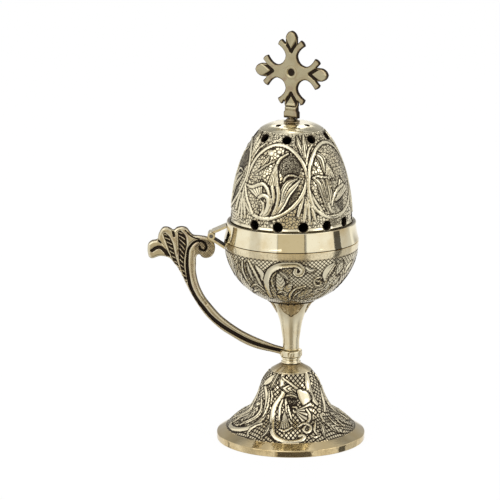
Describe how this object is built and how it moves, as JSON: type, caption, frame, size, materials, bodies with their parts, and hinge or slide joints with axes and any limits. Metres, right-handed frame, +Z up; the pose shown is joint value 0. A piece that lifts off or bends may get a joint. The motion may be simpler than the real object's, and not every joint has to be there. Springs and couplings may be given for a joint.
{
  "type": "hand censer",
  "caption": "Footed egg-shaped hand censer: bowl on a stem and bell foot, side handle, hinged pierced lid with a cross finial and a lift-out coal cup.",
  "frame": {"origin": "middle of the footprint's bounding box, on the floor plane", "axes": "+Z up along the bowl's axis, -X towards the handle and the hinge, +Y across"},
  "size_m": [0.1086, 0.075, 0.2078],
  "materials": {
    "engraved_brass": "engraved, dark patina in the recesses",
    "polished_brass": "polished",
    "steel": "bright zinc plate",
    "cup_steel": "heat-darkened"
  },
  "bodies": {
    "base": {"foot": "engraved_brass", "foot_collar": "polished_brass", "handle": "engraved_brass", "stem": "polished_brass", "bowl": "engraved_brass", "tie_bolt": "steel", "bolt_washer": "steel", "foot_washer": "steel", "foot_nut": "steel", "hinge_lower_leaf": "polished_brass", "hinge_pin": "polished_brass"},
    "lid": {"hinge_upper_leaf": "polished_brass", "lid_band": "polished_brass", "lid_dome": "engraved_brass", "lid_cross": "engraved_brass", "cross_collar": "polished_brass", "cross_washer": "steel", "cross_nut": "steel"},
    "coal_cup": {"coal_cup": "cup_steel"}
  },
  "joints": [
    {"name": "lid_hinge", "type": "hinge", "parent": "base", "child": "lid", "pos_m": [-0.0232, 0, 0.10484], "axis": [0, -1, 0], "range_deg": [0, 104]},
    {"name": "coal_cup_lift", "type": "slide", "parent": "base", "child": "coal_cup", "axis": [0, 0, 1], "range_m": [0, 0.012]}
  ]
}
